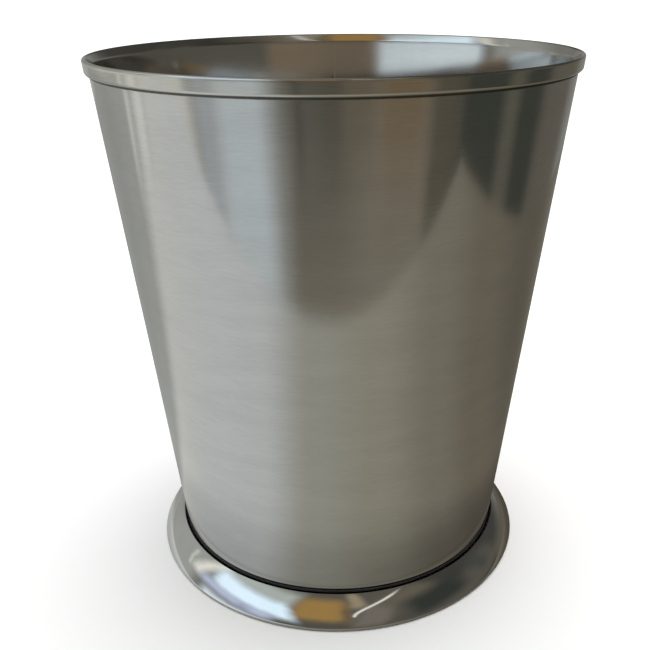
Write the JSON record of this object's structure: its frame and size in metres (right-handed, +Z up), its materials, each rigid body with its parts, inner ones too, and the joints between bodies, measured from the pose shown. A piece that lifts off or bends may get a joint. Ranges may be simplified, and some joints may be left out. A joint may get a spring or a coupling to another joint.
{
  "type": "wastebasket",
  "caption": "Open-top tapered wastebasket in brushed stainless steel, with a folded rim band and a polished flared foot ring set off by a black gasket.",
  "frame": {"origin": "on the floor, on the basket's axis", "axes": "+Z up along the basket's axis; +Y away from the viewer, towards the side with the body's weld seam; +X to the viewer's right"},
  "size_m": [0.24, 0.24, 0.2715],
  "materials": {
    "brushed_steel": "stainless sheet with a very fine brush grain round the body, bright satin; a thin line of grime just under the rim band",
    "satin_steel": "stainless strip with a fine brush grain round the rim, satin, rubbed brighter on its edges",
    "floor_steel": "pressed stainless sheet, dull mill finish with faint turned marks",
    "polished_steel": "mirror-polished stainless steel with faint hairlines",
    "zinc_steel": "zinc-plated steel, slightly dull",
    "black_plastic": "moulded black plastic with a fine grain",
    "black_gasket": "black elastomer, matt",
    "foot_rubber": "black rubber, matt"
  },
  "bodies": {
    "root": {"body_shell": "brushed_steel", "rim_band": "satin_steel", "floor_pan": "floor_steel", "spacer_gasket": "black_gasket", "base_ring": "polished_steel", "base_plate": "black_plastic", "base_screw_1": "zinc_steel", "base_screw_2": "zinc_steel", "base_screw_3": "zinc_steel", "base_screw_4": "zinc_steel", "screw_washer_1": "zinc_steel", "screw_washer_2": "zinc_steel", "screw_washer_3": "zinc_steel", "screw_washer_4": "zinc_steel", "weld_standoff_1": "zinc_steel", "weld_standoff_2": "zinc_steel", "weld_standoff_3": "zinc_steel", "weld_standoff_4": "zinc_steel", "rubber_foot_1": "foot_rubber", "rubber_foot_2": "foot_rubber", "rubber_foot_3": "foot_rubber", "rubber_foot_4": "foot_rubber"}
  },
  "joints": []
}
